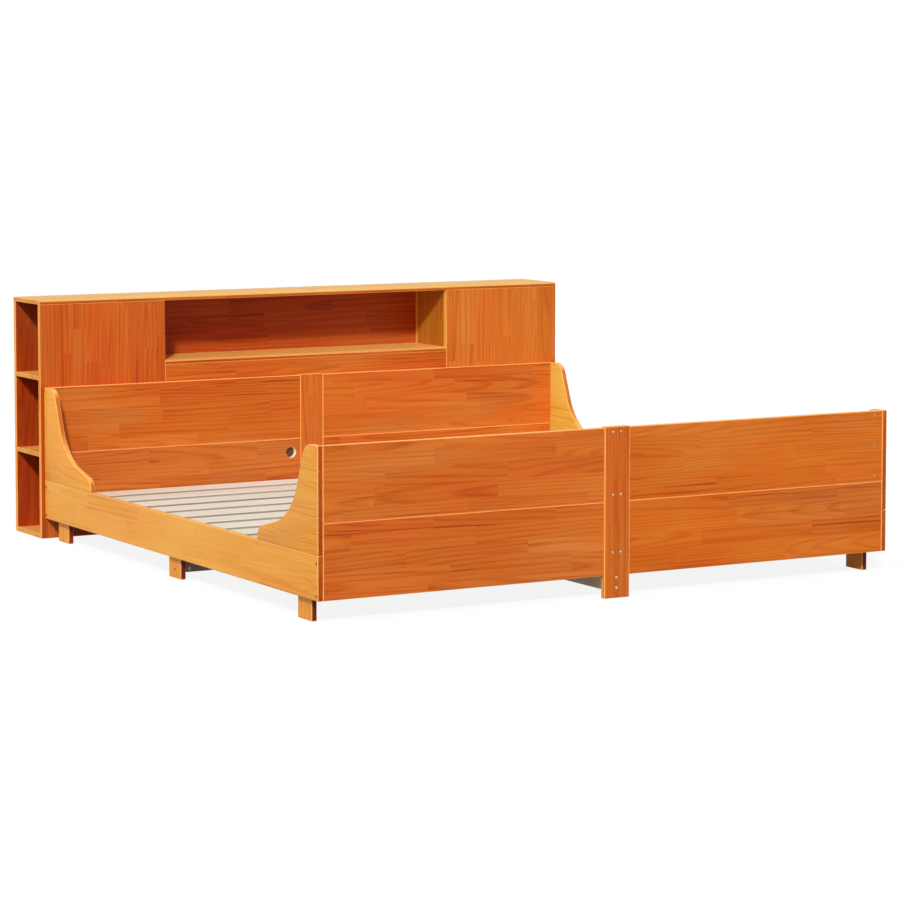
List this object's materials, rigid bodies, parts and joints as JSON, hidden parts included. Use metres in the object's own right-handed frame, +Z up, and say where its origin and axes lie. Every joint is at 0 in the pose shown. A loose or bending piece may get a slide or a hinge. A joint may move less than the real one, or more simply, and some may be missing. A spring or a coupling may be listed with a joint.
{
  "type": "double bed with bookcase headboard",
  "caption": "Low solid timber double bed with slatted base, curved side brackets, centre posts and a bookcase headboard that is open at the sides and in the middle.",
  "frame": {"origin": "on the floor, at the middle of the object's width and length (centre of the underside of its bounding box)", "axes": "+Z up, -Y towards the foot of the bed, +Y towards the bookcase headboard, +X to the right as seen from the foot"},
  "size_m": [2.08, 2.2956, 0.825],
  "materials": {
    "waxed_pine": "honey wax over edge-glued pine, satin",
    "raw_pine": "planed, untreated",
    "zinc_steel": "zinc plated"
  },
  "bodies": {
    "root": {"side_rail_left": "waxed_pine", "side_rail_right": "waxed_pine", "ear_foot_left": "waxed_pine", "ear_foot_right": "waxed_pine", "ear_head_left": "waxed_pine", "ear_head_right": "waxed_pine", "foot_board_lower_left": "waxed_pine", "foot_board_lower_right": "waxed_pine", "foot_board_upper_left": "waxed_pine", "foot_board_upper_right": "waxed_pine", "head_board_lower_left": "waxed_pine", "head_board_lower_right": "waxed_pine", "head_board_upper_left": "waxed_pine", "head_board_upper_right": "waxed_pine", "foot_post": "waxed_pine", "head_post": "waxed_pine", "leg_foot_left": "waxed_pine", "leg_mid_left": "waxed_pine", "leg_head_left": "waxed_pine", "leg_foot_right": "waxed_pine", "leg_mid_right": "waxed_pine", "leg_head_right": "waxed_pine", "centre_beam": "raw_pine", "mid_cross_bar": "raw_pine", "centre_leg": "raw_pine", "slat_ledger_left": "raw_pine", "slat_ledger_right": "raw_pine", "slat_1": "raw_pine", "slat_2": "raw_pine", "slat_3": "raw_pine", "slat_4": "raw_pine", "slat_5": "raw_pine", "slat_6": "raw_pine", "slat_7": "raw_pine", "slat_8": "raw_pine", "slat_9": "raw_pine", "slat_10": "raw_pine", "slat_11": "raw_pine", "slat_12": "raw_pine", "slat_13": "raw_pine", "case_top": "waxed_pine", "case_bottom": "waxed_pine", "case_apron": "waxed_pine", "case_shelf_centre": "waxed_pine", "case_back_centre": "waxed_pine", "case_front_left": "waxed_pine", "case_front_right": "waxed_pine", "case_back_left": "waxed_pine", "case_back_right": "waxed_pine", "case_divider_left": "waxed_pine", "case_divider_right": "waxed_pine", "case_shelf_lower_left": "waxed_pine", "case_shelf_lower_right": "waxed_pine", "case_shelf_upper_left": "waxed_pine", "case_shelf_upper_right": "waxed_pine", "frame_bolts": "zinc_steel", "barrel_nuts": "zinc_steel", "post_pins": "zinc_steel", "screws": "zinc_steel", "dowels": "raw_pine"}
  },
  "joints": []
}
